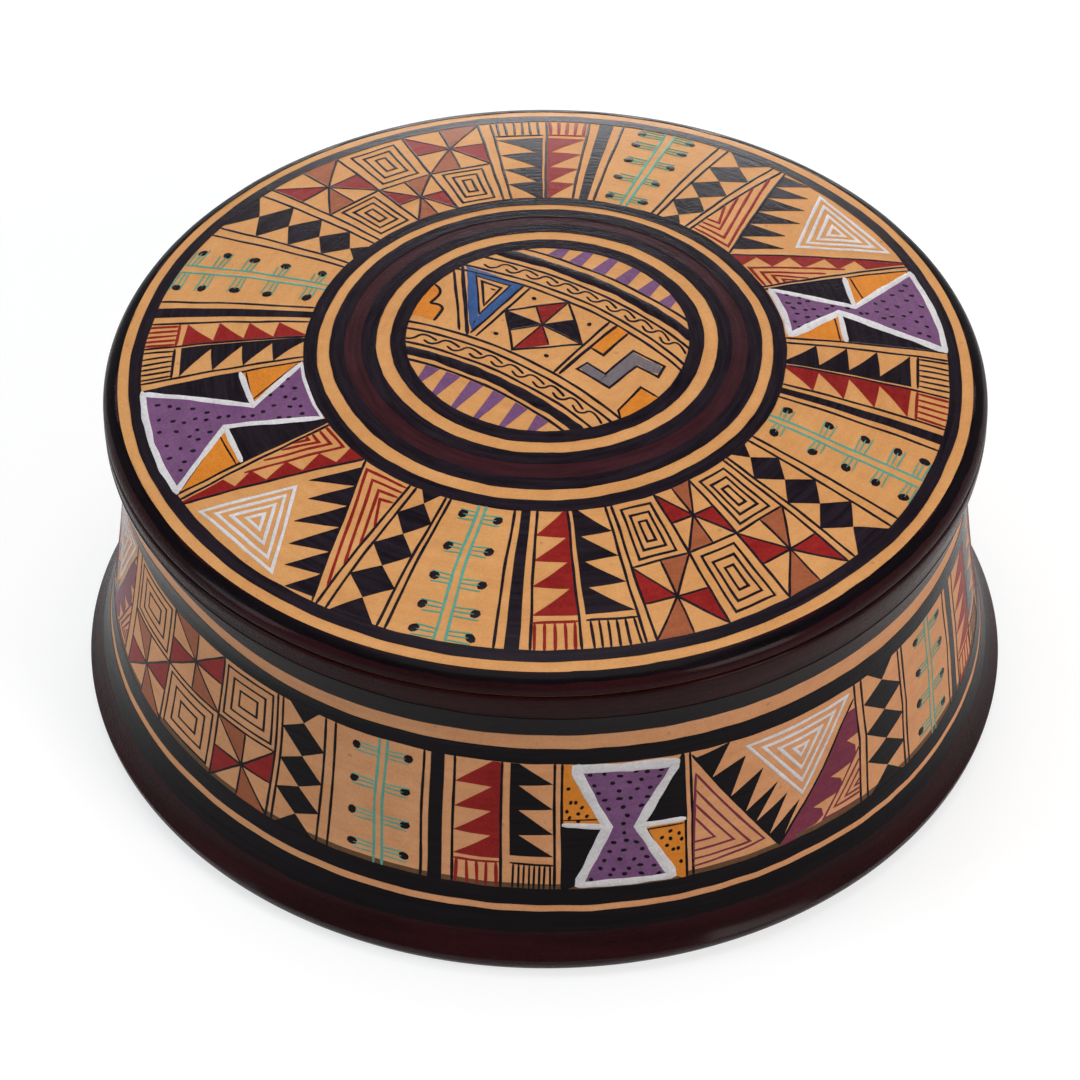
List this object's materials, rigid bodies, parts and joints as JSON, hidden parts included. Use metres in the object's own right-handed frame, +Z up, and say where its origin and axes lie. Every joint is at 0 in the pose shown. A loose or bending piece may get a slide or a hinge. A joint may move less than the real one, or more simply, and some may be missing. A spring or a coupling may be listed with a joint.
{
  "type": "trinket box",
  "caption": "Round lidded box with a hollow flaring wall, a rounded foot and a shallow domed lid that lifts straight off.",
  "frame": {"origin": "centre of the flat base, on the surface that the box stands on", "axes": "+Z up along the axis of the box; -Y is the side that faces the viewer in the picture"},
  "size_m": [0.13, 0.13, 0.0585],
  "materials": {
    "cream_slip": "satin, fine sandy grain",
    "maroon_slip": "satin varnish over brushed paint",
    "black_slip": "satin, streaky brushwork",
    "red_slip": "satin",
    "brown_slip": "satin",
    "white_slip": "thick brushed paint",
    "purple_slip": "satin",
    "orange_slip": "satin",
    "turquoise_slip": "satin, thin lines",
    "blue_slip": "satin",
    "grey_slip": "satin",
    "plum_slip": "satin",
    "bare_clay": "matt fired clay"
  },
  "bodies": {
    "box": {"box_body": "maroon_slip"},
    "lid": {"lid": "cream_slip"}
  },
  "joints": [
    {"name": "lid_lift", "type": "slide", "parent": "box", "child": "lid", "axis": [0, 0, 1], "range_m": [0, 0.06]}
  ]
}
